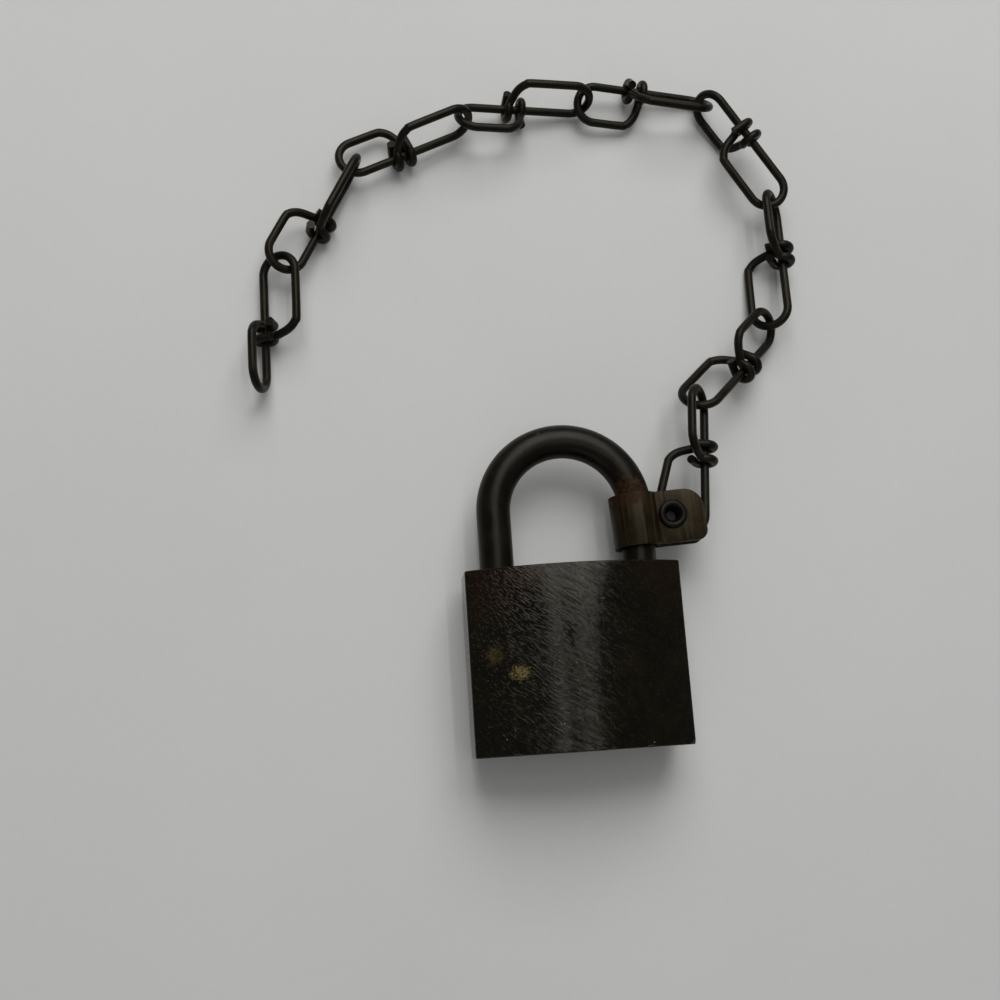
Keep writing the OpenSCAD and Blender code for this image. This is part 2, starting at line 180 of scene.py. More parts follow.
def feed(tree, pair, target, into):
    """Joins a (node, output) pair to an input."""
    tree.links.new(pair[0].outputs[pair[1]], target.inputs[into])


def maths(tree, operation, first, second, clamp=False):
    """One step of arithmetic; each term is a number or a (node, output) pair."""
    node = tree.nodes.new("ShaderNodeMath")
    node.operation = operation
    node.use_clamp = clamp
    for slot, term in enumerate((first, second)):
        if isinstance(term, tuple):
            feed(tree, term, node, slot)
        else:
            node.inputs[slot].default_value = term
    return node, "Value"


def spread(tree, value, low, high, to_low=0.0, to_high=1.0):
    """Map Range: value between low and high goes to to_low … to_high, clamped."""
    node = new_node(
        tree, "ShaderNodeMapRange", {}, From_Min=low, From_Max=high, To_Min=to_low, To_Max=to_high
    )
    feed(tree, value, node, "Value")
    return node, "Result"


# sockets of a colour Mix node: both colours in, and the colour out
MIX_BELOW, MIX_ABOVE, MIX_OUT = 6, 7, 2


def tint(tree, mask, below, above):
    """Colour mix; below and above are colours or (node, output) pairs."""
    node = new_node(tree, "ShaderNodeMix", {"data_type": "RGBA"})
    feed(tree, mask, node, "Factor")
    for slot, colour in ((MIX_BELOW, below), (MIX_ABOVE, above)):
        if isinstance(colour[0], bpy.types.Node):
            feed(tree, colour, node, slot)
        else:
            node.inputs[slot].default_value = (*colour, 1)
    return node, MIX_OUT


def layer(tree, colour, mask, share, above):
    """Lays a colour over another where the mask says, by no more than the share."""
    return tint(tree, maths(tree, "MULTIPLY", mask, share), colour, above)


def open_group(name, inputs, outputs):
    """A new shader node group with its named sockets; returns its tree, entry and exit."""
    tree = bpy.data.node_groups.new(name, "ShaderNodeTree")
    for label, kind, value in inputs:
        socket = tree.interface.new_socket(label, in_out="INPUT", socket_type=kind)
        socket.default_value = value
    for label, kind in outputs:
        tree.interface.new_socket(label, in_out="OUTPUT", socket_type=kind)
    return tree, tree.nodes.new("NodeGroupInput"), tree.nodes.new("NodeGroupOutput")


FLOAT, COLOUR, VECTOR = "NodeSocketFloat", "NodeSocketColor", "NodeSocketVector"


def object_place(tree):
    return tree.nodes.new("ShaderNodeTexCoord"), "Object"


def group_mottle():
    """Patina that drifts between two colours in soft blotches and fine grain."""
    tree, entry, exit_ = open_group(
        "Patina mottle",
        [
            ("Dark", COLOUR, (0, 0, 0, 1)),
            ("Light", COLOUR, (1, 1, 1, 1)),
            ("Blotch", FLOAT, 150),
            ("Grain", FLOAT, 1800),
        ],
        [("Color", COLOUR), ("Value", FLOAT)],
    )
    place = object_place(tree)
    blotch = new_node(tree, "ShaderNodeTexNoise", {}, Detail=5, Roughness=0.62)
    grain = new_node(tree, "ShaderNodeTexNoise", {}, Detail=3, Roughness=0.6)
    for noise, size in ((blotch, "Blotch"), (grain, "Grain")):
        feed(tree, place, noise, "Vector")
        join(tree, entry, size, noise, "Scale")
    soft = maths(tree, "MULTIPLY", (blotch, "Fac"), 0.72)
    both = maths(tree, "ADD", soft, maths(tree, "MULTIPLY", (grain, "Fac"), 0.28))
    value = spread(tree, both, 0.34, 0.66)
    mix = tint(tree, value, (entry, "Dark"), (entry, "Light"))
    feed(tree, mix, exit_, "Color")
    feed(tree, value, exit_, "Value")
    return tree


def group_hairlines():
    """Hairline scratches along the first axis of the vector that comes in."""
    tree, entry, exit_ = open_group(
        "Hairline scratches",
        [
            ("Vector", VECTOR, (0, 0, 0)),
            ("Fineness", FLOAT, 2400),
            ("Length", FLOAT, 12),
            ("Sharpness", FLOAT, 0.5),
        ],
        [("Height", FLOAT), ("Lines", FLOAT)],
    )
    parts = new_node(tree, "ShaderNodeSeparateXYZ")
    join(tree, entry, "Vector", parts, "Vector")
    along = maths(tree, "DIVIDE", (parts, "X"), (entry, "Length"))
    stretched = new_node(tree, "ShaderNodeCombineXYZ")
    feed(tree, along, stretched, "X")
    join(tree, parts, "Y", stretched, "Y")
    join(tree, parts, "Z", stretched, "Z")
    lines = new_node(tree, "ShaderNodeTexNoise", {}, Detail=2.5, Roughness=0.55)
    join(tree, stretched, "Vector", lines, "Vector")
    join(tree, entry, "Fineness", lines, "Scale")
    coarse = new_node(tree, "ShaderNodeTexNoise", {}, Detail=2, Roughness=0.5)
    join(tree, stretched, "Vector", coarse, "Vector")
    coarse_scale = maths(tree, "MULTIPLY", (entry, "Fineness"), 0.31)
    feed(tree, coarse_scale, coarse, "Scale")
    woven = maths(tree, "MULTIPLY", (lines, "Fac"), (coarse, "Fac"))
    sharp = maths(tree, "POWER", woven, (entry, "Sharpness"))
    feed(tree, sharp, exit_, "Height")
    mask = spread(tree, (lines, "Fac"), 0.52, 0.68)
    feed(tree, mask, exit_, "Lines")
    return tree


def group_edge_wear():
    """Mask of rubbed edges: where the rounded normal leaves the true one, broken up by noise."""
    tree, entry, exit_ = open_group(
        "Rubbed edges",
        [("Width", FLOAT, 0.0004), ("Amount", FLOAT, 1.0), ("Breakup", FLOAT, 900)],
        [("Mask", FLOAT)],
    )
    rounded = new_node(tree, "ShaderNodeBevel", {"samples": 6})
    join(tree, entry, "Width", rounded, "Radius")
    true_normal = tree.nodes.new("ShaderNodeNewGeometry")
    dot = new_node(tree, "ShaderNodeVectorMath", {"operation": "DOT_PRODUCT"})
    join(tree, rounded, "Normal", dot, 0)
    join(tree, true_normal, "Normal", dot, 1)
    turned = spread(tree, (dot, "Value"), 0.995, 0.86)
    place = object_place(tree)
    noise = new_node(tree, "ShaderNodeTexNoise", {}, Detail=4, Roughness=0.65)
    feed(tree, place, noise, "Vector")
    join(tree, entry, "Breakup", noise, "Scale")
    broken = spread(tree, (noise, "Fac"), 0.42, 0.62)
    worn = maths(tree, "MULTIPLY", turned, broken)
    mask = maths(tree, "MULTIPLY", worn, (entry, "Amount"), clamp=True)
    feed(tree, mask, exit_, "Mask")
    return tree


def group_patch():
    """Mask of one ragged blot round a place: a worn, rusted or tinted patch, or the painted shade of a nick.
    """
    tree, entry, exit_ = open_group(
        "Ragged patch",
        [
            ("Centre", VECTOR, (0, 0, 0)),
            ("Stretch", VECTOR, (1, 1, 1)),
            ("Radius", FLOAT, 0.003),
            ("Raggedness", FLOAT, 0.5),
            ("Grain", FLOAT, 900),
        ],
        [("Mask", FLOAT)],
    )
    place = object_place(tree)
    off = new_node(tree, "ShaderNodeVectorMath", {"operation": "SUBTRACT"})
    feed(tree, place, off, 0)
    join(tree, entry, "Centre", off, 1)
    shaped = new_node(tree, "ShaderNodeVectorMath", {"operation": "MULTIPLY"})
    join(tree, off, "Vector", shaped, 0)
    join(tree, entry, "Stretch", shaped, 1)
    reach = new_node(tree, "ShaderNodeVectorMath", {"operation": "LENGTH"})
    join(tree, shaped, "Vector", reach, 0)
    near = maths(tree, "DIVIDE", (reach, "Value"), (entry, "Radius"))
    noise = new_node(tree, "ShaderNodeTexNoise", {}, Detail=6, Roughness=0.7)
    feed(tree, place, noise, "Vector")
    join(tree, entry, "Grain", noise, "Scale")
    swing = maths(tree, "SUBTRACT", (noise, "Fac"), 0.5)
    wobble = maths(tree, "MULTIPLY", swing, (entry, "Raggedness"))
    wobble = maths(tree, "MULTIPLY", wobble, 6.0)
    mask = spread(tree, maths(tree, "ADD", near, wobble), 1.15, 0.55)
    feed(tree, mask, exit_, "Mask")
    return tree


def group_dust_and_glints():
    """Tiny pale specks, partly lint and dust and partly painted glints, scattered thinly."""
    tree, entry, exit_ = open_group(
        "Dust and glint specks", [("Spacing", FLOAT, 700), ("Share", FLOAT, 0.05)], [("Mask", FLOAT)]
    )
    place = object_place(tree)
    cells = new_node(tree, "ShaderNodeTexVoronoi")
    feed(tree, place, cells, "Vector")
    join(tree, entry, "Spacing", cells, "Scale")
    dot = spread(tree, (cells, "Distance"), 0.11, 0.04)
    parts = new_node(tree, "ShaderNodeSeparateColor")
    join(tree, cells, "Color", parts, "Color")
    chosen = maths(tree, "LESS_THAN", (parts, "Red"), (entry, "Share"))
    mask = maths(tree, "MULTIPLY", dot, chosen)
    feed(tree, mask, exit_, "Mask")
    return tree


def build_groups():
    return {
        "mottle": group_mottle(),
        "hairlines": group_hairlines(),
        "edges": group_edge_wear(),
        "patch": group_patch(),
        "dust_and_glints": group_dust_and_glints(),
    }


def put(tree, group, **inputs):
    """Places a node group with its sockets set."""
    node = tree.nodes.new("ShaderNodeGroup")
    node.node_tree = group
    for name, value in inputs.items():
        node.inputs[name].default_value = value
    return node


def open_material(name, **shader_values):
    """A new material; returns it, its tree and its shader with the given values set."""
    material = bpy.data.materials.new(name)
    material.use_nodes = True
    shader = material.node_tree.nodes["Principled BSDF"]
    for label, value in shader_values.items():
        shader.inputs[label.replace("_", " ")].default_value = value
    return material, material.node_tree, shader


def bump(tree, shader, height, distance, strength=1.0, under=None):
    node = new_node(tree, "ShaderNodeBump", {}, Strength=strength, Distance=distance)
    feed(tree, height, node, "Height")
    if under is not None:
        join(tree, under, "Normal", node, "Normal")
    join(tree, node, "Normal", shader, "Normal")
    return node


def turned_vector(tree, degrees):
    """Object place turned about Z, for a pattern that runs one way across a face."""
    mapping = new_node(tree, "ShaderNodeMapping", {}, Rotation=(0, 0, math.radians(degrees)))
    feed(tree, object_place(tree), mapping, "Vector")
    return mapping, "Vector"


def bar_vector(tree):
    """The attribute that runs along a bar or wire: length first, then the place across it."""
    return new_node(tree, "ShaderNodeAttribute", {"attribute_name": "along_bar"}), "Vector"


def patina(tree, groups, dark, light, blotch, grain):
    return put(tree, groups["mottle"], Dark=(*dark, 1), Light=(*light, 1), Blotch=blotch, Grain=grain)


def streaks(tree, groups, run, fineness, length, sharpness=0.8):
    """Scratches that follow the run, a (node, output) pair."""
    node = put(tree, groups["hairlines"], Fineness=fineness, Length=length, Sharpness=sharpness)
    feed(tree, run, node, "Vector")
    return node


def patch(tree, groups, centre, radius, ragged, grain, stretch=(1, 1, 1)):
    """Mask of one ragged patch, its centre and radius in millimetres."""
    node = put(
        tree, groups["patch"], Centre=at(*centre), Radius=radius * MM, Stretch=stretch, Raggedness=ragged,
        Grain=grain,
    )
    return node, "Mask"


def worn_edges(tree, groups, colour, width, amount, breakup, bare):
    """Lays the bare colour over rubbed edges."""
    edges = put(tree, groups["edges"], Width=width, Amount=amount, Breakup=breakup)
    return tint(tree, (edges, "Mask"), colour, bare)


# pale specks laid over the colour: dust, and painted glints
def dusted_and_glinting(tree, groups, colour, spacing, chosen, share, dust_and_glint_colour):
    dust_and_glints = put(tree, groups["dust_and_glints"], Spacing=spacing, Share=chosen)
    return layer(tree, colour, (dust_and_glints, "Mask"), share, dust_and_glint_colour)


def flecks(tree, scale, detail, roughness, low, high, dark, light):
    """Fine grains of two colours."""
    noise = new_node(tree, "ShaderNodeTexNoise", {}, Scale=scale, Detail=detail, Roughness=roughness)
    feed(tree, object_place(tree), noise, "Vector")
    return tint(tree, spread(tree, (noise, "Fac"), low, high), dark, light)


def set_roughness(tree, shader, base, *terms):
    """Roughness: the base, plus each (node, output) pair times its weight."""
    total = base
    for value, weight in terms:
        total = maths(tree, "ADD", maths(tree, "MULTIPLY", value, weight), total)
    feed(tree, total, shader, "Roughness")


# ---------- finishes ----------
def finish_table(groups):
    material, tree, shader = open_material("table_paper", Roughness=0.85, Specular_IOR_Level=0.2)
    mottle = patina(tree, groups, (0.585, 0.585, 0.565), (0.615, 0.615, 0.6), 9, 700)
    join(tree, mottle, "Color", shader, "Base Color")
    return material


# reddish bloom on the front face: place across, radius
BLOOM_Y = 35
BLOOMS = ((-19, 9), (19.5, 7), (-11, 4))
# bare greenish brass where the patina has gone: place, radius, stretch, share
BARE_SPOTS = (
    (-17.5, 20.0, 1.8, (1, 0.9, 0), 0.26),
    (-12.6, 16.2, 1.5, (0.8, 1.15, 0), 1.0),
)
# painted shade of short nicks: near-black marks in the colour where small dents would hold shade, the dents
# not being cut; place, stretch
NICK_SHADE_MARKS = ((-8.1, 28.8, (0.22, 2.6, 0)), (-9.9, 14.7, (0.22, 2.8, 0)), (-4.4, 32.8, (1.2, 0.8, 0)))
NICK_SHADE_R = 0.42


def bare_brass(tree, groups):
    """Mask of the bare spots, on the front half only."""
    bare = None
    for x, y, radius, stretch, share in BARE_SPOTS:
        weighed = maths(tree, "MULTIPLY", patch(tree, groups, (x, y, 0), radius, 0.8, 1900, stretch), share)
        bare = weighed if bare is None else maths(tree, "MAXIMUM", bare, weighed)
    front = new_node(tree, "ShaderNodeSeparateXYZ")
    feed(tree, object_place(tree), front, "Vector")
    return maths(tree, "MULTIPLY", bare, spread(tree, (front, "Z"), 10 * MM, 11 * MM))


def finish_body(groups):
    material, tree, shader = open_material(
        "body_patina", Metallic=0.0, Specular_IOR_Level=0.22, Specular_Tint=(1, 0.94, 0.84, 1)
    )
    mottle = patina(tree, groups, (0.0014, 0.0009, 0.0002), (0.0062, 0.0046, 0.0016), 160, 2200)
    scratch = streaks(tree, groups, turned_vector(tree, 38), 3400, 9)
    colour = layer(tree, (mottle, "Color"), (scratch, "Lines"), 0.22, (0.021, 0.018, 0.013))
    for x, radius in BLOOMS:
        bloom = patch(tree, groups, (x, BLOOM_Y, MID_T), radius, 0.22, 260)
        colour = layer(tree, colour, bloom, 0.5, (0.010, 0.003, 0.0015))
    bare = bare_brass(tree, groups)
    brassy = flecks(tree, 2600, 3, 0.6, 0.4, 0.62, (0.035, 0.022, 0.004), (0.19, 0.15, 0.05))
    colour = layer(tree, colour, bare, 0.85, brassy)
    # painted shade: the nicks are dark colour laid on the face, not cut dents
    for x, y, stretch in NICK_SHADE_MARKS:
        nick_shade = patch(tree, groups, (x, y, 0), NICK_SHADE_R, 0.2, 900, stretch)
        colour = tint(tree, nick_shade, colour, (0.0006, 0.0005, 0.0004))
    colour = worn_edges(tree, groups, colour, 0.00035, 0.55, 700, (0.055, 0.048, 0.04))
    # pale specks on the face: dust, and painted glints
    colour = dusted_and_glinting(tree, groups, colour, 620, 0.035, 0.55, (0.32, 0.3, 0.26))
    feed(tree, colour, shader, "Base Color")
    set_roughness(tree, shader, 0.05, ((mottle, "Value"), 0.07), ((scratch, "Lines"), 0.12), (bare, 0.2))
    fine = bump(tree, shader, (scratch, "Height"), 0.00007, 0.9)
    grooves = bump(tree, shader, (scratch, "Lines"), 0.000022, 0.9, under=fine)
    bump(tree, shader, (mottle, "Value"), 0.00003, 0.35, under=grooves)
    return material


def finish_shackle(groups):
    material, tree, shader = open_material(
        "shackle_oxide", Metallic=0.0, Specular_IOR_Level=0.17, Specular_Tint=(1, 0.93, 0.8, 1)
    )
    mottle = patina(tree, groups, (0.0010, 0.0008, 0.0004), (0.0062, 0.005, 0.0026), 230, 2400)
    streak = streaks(tree, groups, bar_vector(tree), 1500, 40)
    colour = layer(tree, (mottle, "Color"), (streak, "Lines"), 0.3, (0.035, 0.031, 0.025))
    rusty = flecks(tree, 1500, 4, 0.65, 0.42, 0.66, (0.014, 0.0042, 0.0012), (0.07, 0.025, 0.006))
    rust = patch(tree, groups, (13.4, 53.4, 14.5), 3.6, 0.6, 1000, (0.85, 1.3, 0.7))
    colour = layer(tree, colour, rust, 0.6, rusty)
    colour = worn_edges(tree, groups, colour, 0.0004, 0.6, 800, (0.09, 0.08, 0.068))
    # pale specks on the bar: dust, and painted glints
    colour = dusted_and_glinting(tree, groups, colour, 620, 0.03, 0.5, (0.3, 0.28, 0.24))
    feed(tree, colour, shader, "Base Color")
    set_roughness(tree, shader, 0.27, ((mottle, "Value"), 0.14), (rust, 0.35))
    fine = bump(tree, shader, (streak, "Height"), 0.0002, 0.9)
    bump(tree, shader, (mottle, "Value"), 0.00005, 0.5, under=fine)
    return material


def finish_clip(groups):
    material, tree, shader = open_material(
        "clip_browned_brass", Metallic=0.1, Specular_IOR_Level=0.17, Specular_Tint=(1, 0.86, 0.64, 1)
    )
    mottle = patina(tree, groups, (0.0042, 0.0026, 0.0008), (0.0165, 0.0108, 0.0034), 280, 2400)
    streak = streaks(tree, groups, turned_vector(tree, 90 - CLIP_TILT), 1500, 30)
    colour = layer(tree, (mottle, "Color"), (streak, "Lines"), 0.4, (0.06, 0.045, 0.026))
    rust = patch(tree, groups, (12.0, 52.6, 14.0), 3.4, 0.4, 700, (0.75, 0.9, 0.6))
    colour = layer(tree, colour, rust, 0.6, (0.022, 0.0042, 0.001))
    colour = worn_edges(tree, groups, colour, 0.00025, 0.7, 1000, (0.10, 0.07, 0.032))
    # pale specks on the strap: dust, and painted glints
    colour = dusted_and_glinting(tree, groups, colour, 750, 0.05, 0.5, (0.3, 0.27, 0.2))
    feed(tree, colour, shader, "Base Color")
    set_roughness(tree, shader, 0.30, ((mottle, "Value"), 0.15), (rust, 0.3))
    fine = bump(tree, shader, (streak, "Height"), 0.00014, 0.9)
    bump(tree, shader, (mottle, "Value"), 0.00004, 0.4, under=fine)
    return material


def finish_rivet(groups):
    material, tree, shader = open_material(
        "rivet_black_steel", Metallic=0.0, Specular_IOR_Level=0.14, Specular_Tint=(1, 0.93, 0.84, 1)
    )
    mottle = patina(tree, groups, (0.0012, 0.0012, 0.0012), (0.006, 0.0056, 0.005), 420, 2600)
    colour = worn_edges(tree, groups, (mottle, "Color"), 0.0003, 0.5, 1200, (0.05, 0.045, 0.04))
    feed(tree, colour, shader, "Base Color")
    set_roughness(tree, shader, 0.3, ((mottle, "Value"), 0.2))
    bump(tree, shader, (mottle, "Value"), 0.00005, 0.5)
    return material


def finish_wire(groups):
    material, tree, shader = open_material(
        "chain_wire_patina", Metallic=0.0, Specular_IOR_Level=0.16, Specular_Tint=(1, 0.92, 0.76, 1)
    )
    mottle = patina(tree, groups, (0.0014, 0.0012, 0.0008), (0.0078, 0.0064, 0.0038), 330, 2600)
    streak = streaks(tree, groups, bar_vector(tree), 2600, 30)
    colour = layer(tree, (mottle, "Color"), (streak, "Lines"), 0.3, (0.04, 0.032, 0.016))
    colour = worn_edges(tree, groups, colour, 0.00025, 0.6, 1500, (0.10, 0.075, 0.03))
    feed(tree, colour, shader, "Base Color")
    set_roughness(tree, shader, 0.30, ((mottle, "Value"), 0.18))
    fine = bump(tree, shader, (streak, "Height"), 0.00012, 0.8)
    bump(tree, shader, (mottle, "Value"), 0.00004, 0.5, under=fine)
    return material


def lighter(colour, times):
    return tuple(min(1, channel * times) for channel in colour)


def finish_turned_metal(groups, name, dark, light, shine, metal):
    """Turned brass or steel of the lock work, with fine tool marks and a little grime."""
    material, tree, shader = open_material(name, Metallic=metal)
    mottle = patina(tree, groups, dark, light, 420, 3000)
    streak = streaks(tree, groups, object_place(tree), 3000, 25, 0.7)
    colour = layer(tree, (mottle, "Color"), (streak, "Lines"), 0.3, lighter(light, 1.5))
    colour = worn_edges(tree, groups, colour, 0.0002, 0.5, 1500, lighter(light, 1.8))
    feed(tree, colour, shader, "Base Color")
    set_roughness(tree, shader, shine, ((mottle, "Value"), 0.18))
    bump(tree, shader, (streak, "Height"), 0.00002, 0.5)
    return material


# ---------- modelling helpers ----------
def only(*objects):
    """Leaves edit mode and selects just these objects, or none."""
    if bpy.context.object and bpy.context.object.mode != "OBJECT":
        bpy.ops.object.mode_set(mode="OBJECT")
    bpy.ops.object.select_all(action="DESELECT")
    for obj in objects:
        obj.select_set(True)
    bpy.context.view_layer.objects.active = objects[0] if objects else None


def name_new(name):
    """Names the object just made, and its mesh."""
    obj = bpy.context.object
    obj.name = obj.data.name = name
    return obj


def open_mesh(obj, mode="FACE"):
    """Opens the mesh for editing with nothing selected."""
    only(obj)
    bpy.ops.object.mode_set(mode="EDIT")
    bpy.ops.mesh.select_mode(type=mode)
    bpy.ops.mesh.select_all(action="DESELECT")


def close_mesh():
    bpy.ops.object.mode_set(mode="OBJECT")


def pick_faces(obj, test):
    """Selects the faces whose middle passes the test, in edit mode."""
    mesh = bmesh.from_edit_mesh(obj.data)
    for face in mesh.faces:
        face.select_set(test(face.calc_center_median(), face.normal))
    bmesh.update_edit_mesh(obj.data)


def pick_verts(obj, test):
    """Selects the points that pass the test, in edit mode."""
    mesh = bmesh.from_edit_mesh(obj.data)
    for vert in mesh.verts:
        vert.select_set(test(vert.co))
    mesh.select_flush_mode()
    bmesh.update_edit_mesh(obj.data)


def fix_place(obj):
    only(obj)
    bpy.ops.object.transform_apply(location=True, rotation=True, scale=True)


def finish_modifier(obj, kind, name, **settings):
    """Adds a modifier with its settings and applies it."""
    only(obj)
    modifier = obj.modifiers.new(name, kind)
    for label, value in settings.items():
        setattr(modifier, label, value)
    bpy.ops.object.modifier_apply(modifier=name)


def cut(obj, *tools):
    """Takes each tool's shape out of the piece, and removes the tool."""
    for tool in tools:
        finish_modifier(obj, "BOOLEAN", "cut", object=tool, operation="DIFFERENCE", solver="EXACT")
        bpy.data.objects.remove(tool)


def smooth(obj, degrees=32):
    only(obj)
    bpy.ops.object.shade_smooth_by_angle(angle=math.radians(degrees))


def mend_normals(obj):
    open_mesh(obj)
    bpy.ops.mesh.select_all(action="SELECT")
    bpy.ops.mesh.remove_doubles(threshold=1e-6)
    bpy.ops.mesh.normals_make_consistent(inside=False)
    close_mesh()


def rod_y(radius, start, end, x=0.0, end_radius=None):
    """A round bar or cone along +Y, to cut with."""
    spot = at(x, (start + end) / 2)
    if end_radius is None:
        bpy.ops.mesh.primitive_cylinder_add(
            vertices=BORE_SIDES, radius=radius * MM, depth=(end - start) * MM, location=spot, rotation=PLUS_Y
        )
    else:
        bpy.ops.mesh.primitive_cone_add(
            vertices=BORE_SIDES, radius1=radius * MM, radius2=end_radius * MM, depth=(end - start) * MM,
            location=spot, rotation=PLUS_Y,
        )
    return bpy.context.object


def rod_x(radius, start, end, y):
    """A round bar along +X, to cut with."""
    bpy.ops.mesh.primitive_cylinder_add(
        vertices=WAY_SIDES, radius=radius * MM, depth=(end - start) * MM, location=at((start + end) / 2, y),
        rotation=PLUS_X,
    )
    return bpy.context.object


def brick(x0, x1, y0, y1, z0, z1):
    """A square block between the given planes, to cut with."""
    bpy.ops.mesh.primitive_cube_add(size=1, location=at((x0 + x1) / 2, (y0 + y1) / 2, (z0 + z1) / 2))
    block = bpy.context.object
    block.scale = ((x1 - x0) * MM, (y1 - y0) * MM, (z1 - z0) * MM)
    fix_place(block)
    return block


def face_z(x):
    """Height of the bulged front face at a place across the body."""
    return math.sqrt(FACE_R**2 - x * x) - FACE_R + MID_T


def ding(x, y, z, size, squash=(1, 1, 1)):
    """A small lumpy tool that leaves a dent or a chip."""
    bpy.ops.mesh.primitive_ico_sphere_add(subdivisions=3, radius=size * MM, location=at(x, y, z))
    tool = bpy.context.object
    tool.scale = squash
    fix_place(tool)
    return tool


# ---------- pieces ----------
# knocks along the lower front edge: place across, place down, height over the face, size, stretch across
KNOCKS = (
    (-1.4, -0.55, 0.1, 1.1, 1),
    (2.4, -0.6, 0.1, 1.2, 1.3),
    (4.6, -0.5, 0.15, 0.9, 1),
    (-14.2, -0.7, 0.2, 1.1, 1.4),
    (12.5, -0.6, 0.2, 1.0, 1.6),
)


def model_body():
    """The solid body: two bulged faces, flat sides, softened edges, bores and years of knocks."""
    only()
    drop = FACE_R - MID_Z
    bpy.ops.mesh.primitive_cylinder_add(
        vertices=FACE_SIDES, radius=FACE_R * MM, depth=BODY_H * MM,
        location=at(0, BODY_H / 2, MID_Z - drop), rotation=PLUS_Y,
    )
    body = name_new("padlock_body")
    fix_place(body)
    open_mesh(body)
    half_w = BODY_W / 2
    for x, normal in ((0, (0, 0, -1)), (half_w, (1, 0, 0)), (-half_w, (-1, 0, 0))):
        bpy.ops.mesh.select_all(action="SELECT")
        bpy.ops.mesh.bisect(plane_co=at(x, 0), plane_no=normal, clear_outer=True, threshold=1e-8)
    close_mesh()
    bpy.context.scene.cursor.location = at(0, 0)
    bpy.ops.object.origin_set(type="ORIGIN_CURSOR")
    finish_modifier(
        body, "MIRROR", "back_half", use_axis=(False, False, True), use_clip=True, merge_threshold=1e-5
    )
    fix_place(body)
    open_mesh(body)
    bpy.ops.mesh.select_all(action="SELECT")
    bpy.ops.mesh.dissolve_limited(angle_limit=math.radians(0.2))
    bpy.ops.mesh.select_all(action="SELECT")
    bpy.ops.mesh.fill_holes(sides=0)
    bpy.ops.mesh.select_all(action="SELECT")
    bpy.ops.mesh.normals_make_consistent(inside=False)
    close_mesh()
    finish_modifier(
        body, "BEVEL", "broken_edges", width=EDGE * MM, segments=4, limit_method="ANGLE",
        angle_limit=math.radians(30),
    )
    cut_bores(body)
    # a chipped corner, then the knocks
    cut(
        body,
        ding(22.5, -0.35, 16.0, 1.35),
        *(ding(x, y, face_z(x) + over, size, (wide, 1, 1)) for x, y, over, size, wide in KNOCKS),
    )
    smooth(body)
    return body


def cut_bores(body):
    """The cylinder's bore and tower slot, the cam's room, the ball way, leg pockets and screw seat."""
    pocket = BAR_R + LEG_ROOM
    above = BODY_H + OVERSHOOT
    mouth = (BODY_H - MOUTH_DEPTH, BODY_H + MOUTH_DEPTH / 4)
    half_tower = TOWER_W / 2 + TOWER_SIDE_GAP
    cut(
        body,
        rod_y(HEAD_BORE, -OVERSHOOT, HEAD_DEPTH),
        rod_y(PLUG_R + SHELL_WALL, -OVERSHOOT, SHELL_TOP),
        brick(TOWER_X - TOWER_END_GAP, 0, -OVERSHOOT, TOWER_TOP, MID_Z - half_tower, MID_Z + half_tower),
        rod_y(CAM_BORE, CAM_FROM, CAM_TO),
        rod_x(BALL_R + BALL_ROOM, -LEG_X, LEG_X, BALL_Y),
        rod_y(pocket, HEEL_FLOOR, above, LEG_X),
        rod_y(pocket, TOE_FLOOR, above, -LEG_X),
        rod_y(pocket, *mouth, LEG_X, end_radius=pocket + MOUTH_FLARE),
        rod_y(pocket, *mouth, -LEG_X, end_radius=pocket + MOUTH_FLARE),
        rod_y(SCREW_HEAD, SCREW_SEAT, TOE_FLOOR + 0.6, SCREW_X),
        rod_y(SCREW_SHANK, SCREW_FROM, SCREW_SEAT + 0.55, SCREW_X),
    )


def grow_leg(length, steps):
    """Grows the open end along Y by a length, in equal steps."""
    for _ in range(steps):
        bpy.ops.mesh.extrude_region_move(TRANSFORM_OT_translate={"value": (0, length / steps * MM, 0)})


def chamfer_end(chamfer, middle):
    """Grows the end by a chamfer, downwards, and draws it in."""
    bpy.ops.mesh.extrude_region_move(TRANSFORM_OT_translate={"value": (0, -chamfer * MM, 0)})
    shrink = (BAR_R - chamfer) / BAR_R
    bpy.ops.transform.resize(value=(shrink, 1, shrink), center_override=middle)


